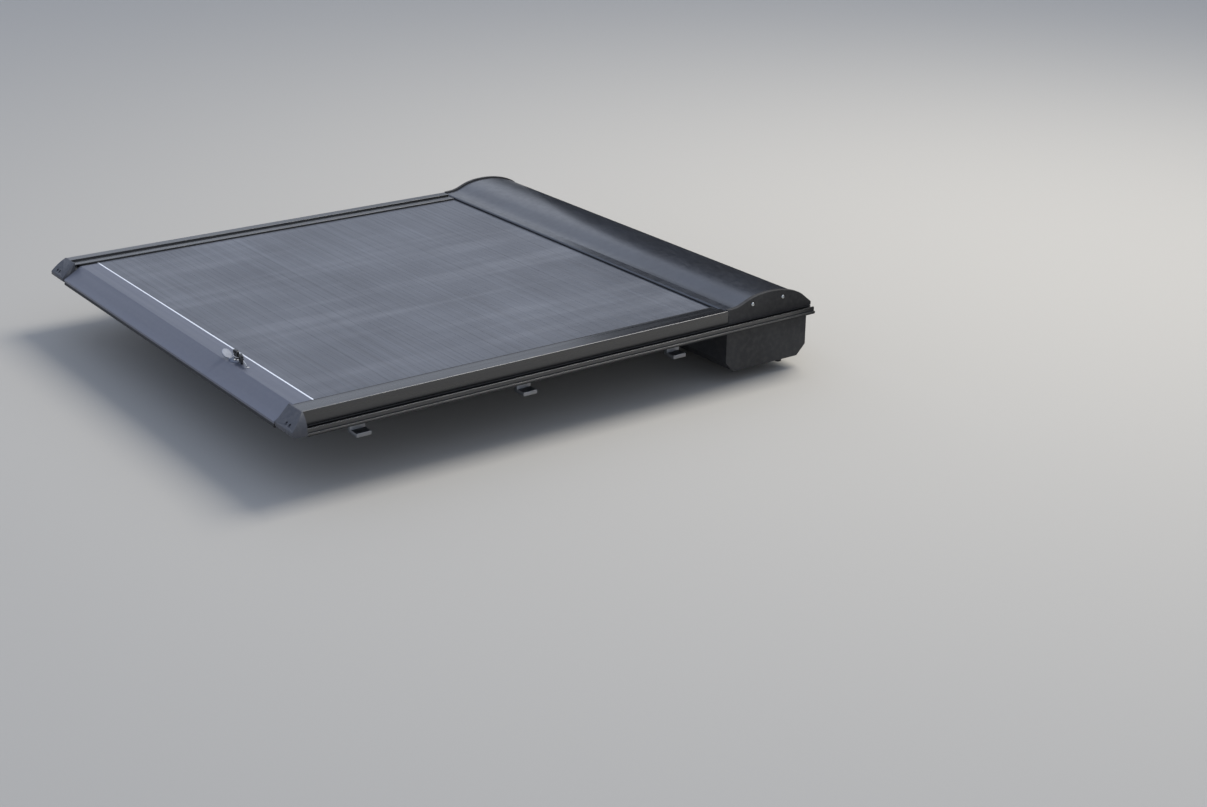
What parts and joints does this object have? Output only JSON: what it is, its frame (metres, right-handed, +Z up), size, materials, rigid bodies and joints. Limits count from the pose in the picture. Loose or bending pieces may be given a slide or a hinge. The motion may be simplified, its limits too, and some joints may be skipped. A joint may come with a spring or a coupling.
{
  "type": "roll-up tonneau cover",
  "caption": "Roll-up slatted tonneau cover for a pickup bed: side rails, locking lead rail with sloping rear face, and a domed canister that holds the drum.",
  "frame": {"origin": "centre plane of the bed, level with the rear ends of the side rails, on the plane where the rail gaskets sit on the bed walls", "axes": "+X to the right across the bed, +Y towards the cab, +Z up"},
  "size_m": [1.482, 1.598, 0.235],
  "materials": {
    "rail_black": "satin black anodised extrusion",
    "cap_plastic": "fine-grained black moulding",
    "satin_black": "satin black powder coat on aluminium",
    "matt_black": "matt black powder coat",
    "tray_sheet": "black coated aluminium sheet",
    "slat_black": "matt black ribbed anodised slat",
    "rubber_black": "matt black rubber",
    "bearing_plastic": "natural low-friction plastic",
    "moulded_plastic": "black moulded plastic",
    "zinc_steel": "zinc-plated steel",
    "black_steel": "black oxide steel",
    "plain_aluminium": "mill-finish aluminium",
    "bright_aluminium": "bright polished aluminium strip",
    "bare_steel": "oiled steel",
    "nickel": "nickel-plated brass",
    "cast_zinc": "die-cast zinc",
    "grey_plastic": "grey moulded plastic",
    "key_plastic": "black moulded key head"
  },
  "bodies": {
    "frame": {"rail_left": "rail_black", "rail_right": "rail_black", "end_cap_left": "cap_plastic", "end_cap_right": "cap_plastic", "end_cap_screws": "black_steel", "rail_gaskets": "rubber_black", "rail_wipers": "rubber_black", "rail_glides": "bearing_plastic", "lock_strikers": "bearing_plastic", "clamp_jaws": "plain_aluminium", "clamp_bolts": "zinc_steel", "clamp_nuts": "zinc_steel", "canister_lid": "satin_black", "canister_tray": "tray_sheet", "tray_end_left": "tray_sheet", "tray_end_right": "tray_sheet", "end_plate_left": "matt_black", "end_plate_right": "matt_black", "end_plate_screws": "zinc_steel", "mouth_wiper": "rubber_black", "bulkhead_seal": "rubber_black", "drain_spouts": "moulded_plastic", "drum_shaft": "bare_steel", "shaft_brackets": "plain_aluminium", "roller_brackets": "moulded_plastic", "torsion_spring": "bare_steel", "spring_collar": "plain_aluminium", "curtain_lead_in": "slat_black"},
    "lead_rail": {"lead_rail": "satin_black", "lead_trim": "bright_aluminium", "tail_seal": "rubber_black", "lead_end_left": "cap_plastic", "lead_end_right": "cap_plastic", "lock_housing": "cast_zinc", "lock_escutcheon": "grey_plastic", "band_rivet": "nickel"},
    "lock_barrel": {"lock_cylinder": "nickel", "lock_cam": "bare_steel", "key_head": "key_plastic", "key_blade": "nickel"},
    "lock_rod_left": {"lock_rod_left": "bare_steel"},
    "lock_rod_right": {"lock_rod_right": "bare_steel"},
    "dust_cover": {"dust_cover": "grey_plastic"},
    "key_bunch": {"key_ring": "nickel", "spare_key_head": "key_plastic", "spare_key_blade": "nickel"},
    "drum": {"drum_tube": "tray_sheet", "drum_bushes": "bearing_plastic", "drum_wrap": "slat_black"},
    "guide_roller": {"guide_roller": "plain_aluminium"},
    "slats_01": {"slats_01": "slat_black"},
    "slats_02": {"slats_02": "slat_black"},
    "slats_03": {"slats_03": "slat_black"},
    "slats_04": {"slats_04": "slat_black"},
    "slats_05": {"slats_05": "slat_black"},
    "slats_06": {"slats_06": "slat_black"},
    "slats_07": {"slats_07": "slat_black"},
    "slats_08": {"slats_08": "slat_black"},
    "slats_09": {"slats_09": "slat_black"}
  },
  "joints": [
    {"name": "cover_slide", "type": "slide", "parent": "frame", "child": "lead_rail", "axis": [0, 1, 0], "range_m": [0, 1.172]},
    {"name": "slats_01_travel", "type": "slide", "parent": "frame", "child": "slats_01", "axis": [0, 1, 0], "range_m": [0, 1.174], "deforming": ["slats_01"]},
    {"name": "slats_02_travel", "type": "slide", "parent": "frame", "child": "slats_02", "axis": [0, 1, 0], "range_m": [0, 1.0576], "deforming": ["slats_02"]},
    {"name": "slats_03_travel", "type": "slide", "parent": "frame", "child": "slats_03", "axis": [0, 1, 0], "range_m": [0, 0.9204], "deforming": ["slats_03"]},
    {"name": "slats_04_travel", "type": "slide", "parent": "frame", "child": "slats_04", "axis": [0, 1, 0], "range_m": [0, 0.7832], "deforming": ["slats_04"]},
    {"name": "slats_05_travel", "type": "slide", "parent": "frame", "child": "slats_05", "axis": [0, 1, 0], "range_m": [0, 0.646], "deforming": ["slats_05"]},
    {"name": "slats_06_travel", "type": "slide", "parent": "frame", "child": "slats_06", "axis": [0, 1, 0], "range_m": [0, 0.5088], "deforming": ["slats_06"]},
    {"name": "slats_07_travel", "type": "slide", "parent": "frame", "child": "slats_07", "axis": [0, 1, 0], "range_m": [0, 0.3716], "deforming": ["slats_07"]},
    {"name": "slats_08_travel", "type": "slide", "parent": "frame", "child": "slats_08", "axis": [0, 1, 0], "range_m": [0, 0.2344], "deforming": ["slats_08"]},
    {"name": "slats_09_travel", "type": "slide", "parent": "frame", "child": "slats_09", "axis": [0, 1, 0], "range_m": [0, 0.0972], "deforming": ["slats_09"]},
    {"name": "drum_turn", "type": "hinge", "parent": "frame", "child": "drum", "pos_m": [0, 1.408, -0.032], "axis": [1, 0, 0], "range_deg": [-1154, 0]},
    {"name": "guide_roller_turn", "type": "hinge", "parent": "frame", "child": "guide_roller", "pos_m": [0, 1.287, 0.026], "axis": [1, 0, 0], "range_deg": [-6416, 0]},
    {"name": "lock_turn", "type": "hinge", "parent": "lead_rail", "child": "lock_barrel", "pos_m": [0.302, 0.038, 0.049], "axis": [0, 0, -1], "range_deg": [0, 90]},
    {"name": "lock_rod_left_travel", "type": "slide", "parent": "lead_rail", "child": "lock_rod_left", "axis": [-1, 0, 0], "range_m": [0, 0.0121]},
    {"name": "lock_rod_right_travel", "type": "slide", "parent": "lead_rail", "child": "lock_rod_right", "axis": [1, 0, 0], "range_m": [0, 0.0121]},
    {"name": "dust_cover_flip", "type": "hinge", "parent": "lead_rail", "child": "dust_cover", "pos_m": [0.28614, 0.0306, 0.0496], "axis": [-0.4226, 0.9063, 0], "range_deg": [-45, 35]},
    {"name": "key_ring_swing", "type": "hinge", "parent": "lock_barrel", "child": "key_bunch", "pos_m": [0.302, 0.038, 0.0687], "axis": [0, 1, 0], "range_deg": [-60, 0]}
  ],
  "couplings": [
    {"joint": "slats_01_travel", "follows": "cover_slide", "ratio": 1},
    {"joint": "slats_02_travel", "follows": "cover_slide", "ratio": 0.90068},
    {"joint": "slats_03_travel", "follows": "cover_slide", "ratio": 0.78362},
    {"joint": "slats_04_travel", "follows": "cover_slide", "ratio": 0.66655},
    {"joint": "slats_05_travel", "follows": "cover_slide", "ratio": 0.54949},
    {"joint": "slats_06_travel", "follows": "cover_slide", "ratio": 0.43242},
    {"joint": "slats_07_travel", "follows": "cover_slide", "ratio": 0.31536},
    {"joint": "slats_08_travel", "follows": "cover_slide", "ratio": 0.19829},
    {"joint": "slats_09_travel", "follows": "cover_slide", "ratio": 0.081229},
    {"joint": "drum_turn", "follows": "cover_slide", "rad_per_m": -17.1},
    {"joint": "guide_roller_turn", "follows": "cover_slide", "rad_per_m": -95.238},
    {"joint": "lock_rod_left_travel", "follows": "lock_turn", "m_per_rad": 0.0076394},
    {"joint": "lock_rod_right_travel", "follows": "lock_turn", "m_per_rad": 0.0076394}
  ]
}
